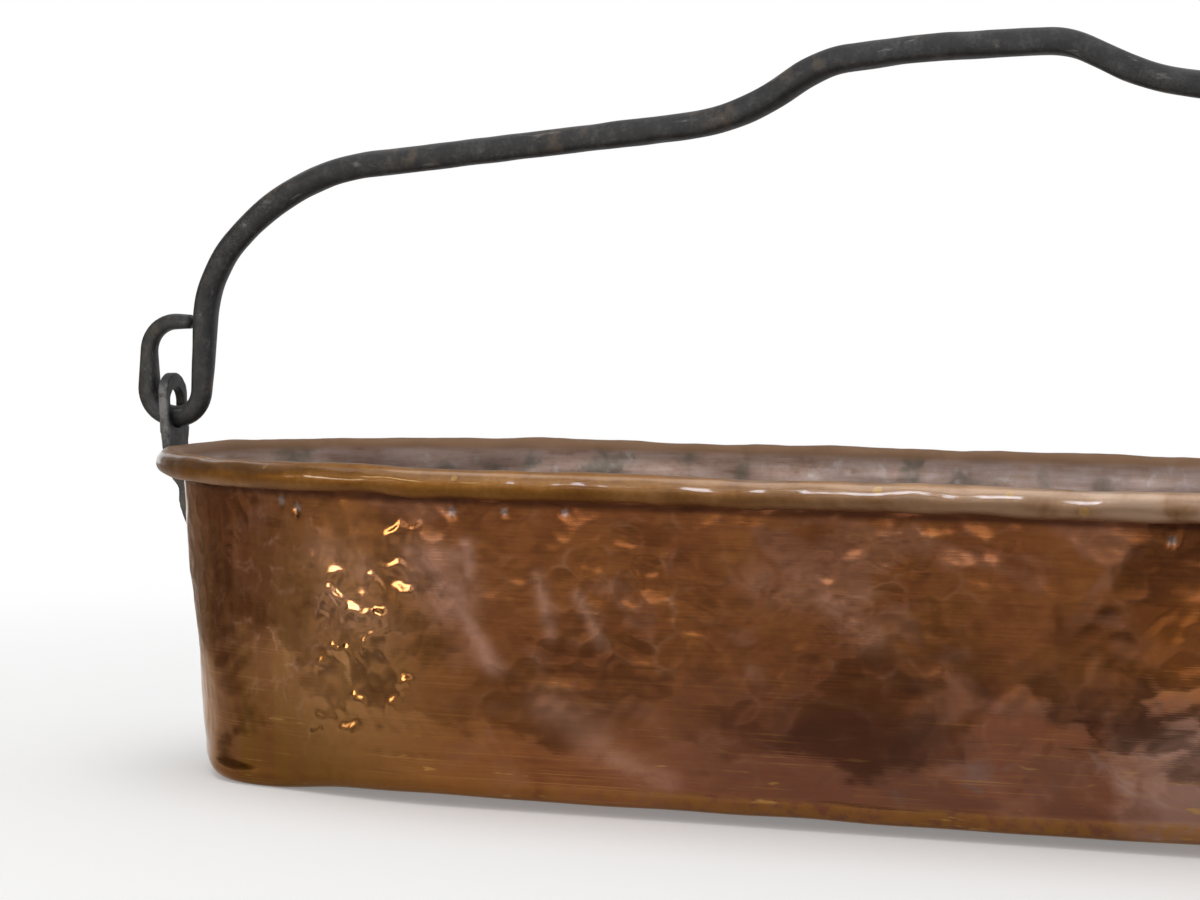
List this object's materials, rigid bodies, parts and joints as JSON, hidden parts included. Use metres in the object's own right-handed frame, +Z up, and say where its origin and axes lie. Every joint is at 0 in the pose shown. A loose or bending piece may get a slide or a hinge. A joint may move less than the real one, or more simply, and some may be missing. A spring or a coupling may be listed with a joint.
{
  "type": "fish kettle",
  "caption": "Long hammered copper fish kettle with a wired rolled rim, riveted iron ears and a forged iron bail handle that swings to either side.",
  "frame": {"origin": "under the middle of the kettle, on the surface it stands on", "axes": "+X along the kettle to the right-hand end, +Y across it, +Z up"},
  "size_m": [0.787, 0.235, 0.3249],
  "materials": {
    "hammered_copper": "hammered copper with brown patina, worn shine on the high marks",
    "tinned_copper": "old tin lining, dull grey with brown and dark patches",
    "rivet_copper": "dull brown copper",
    "forged_iron": "blackened forged iron with light scratches and a little rust",
    "iron_wire": "plain iron wire, hidden in the rim"
  },
  "bodies": {
    "kettle": {"kettle_wall": "hammered_copper", "kettle_bottom": "tinned_copper", "rim_wire": "iron_wire", "left_ear": "forged_iron", "right_ear": "forged_iron", "left_rivet_top": "rivet_copper", "left_rivet_middle": "rivet_copper", "left_rivet_bottom": "rivet_copper", "right_rivet_top": "rivet_copper", "right_rivet_middle": "rivet_copper", "right_rivet_bottom": "rivet_copper"},
    "bail": {"bail": "forged_iron"}
  },
  "joints": [
    {"name": "bail_swing", "type": "hinge", "parent": "kettle", "child": "bail", "pos_m": [0, 0, 0.1523], "axis": [1, 0, 0], "range_deg": [-95, 95]}
  ]
}
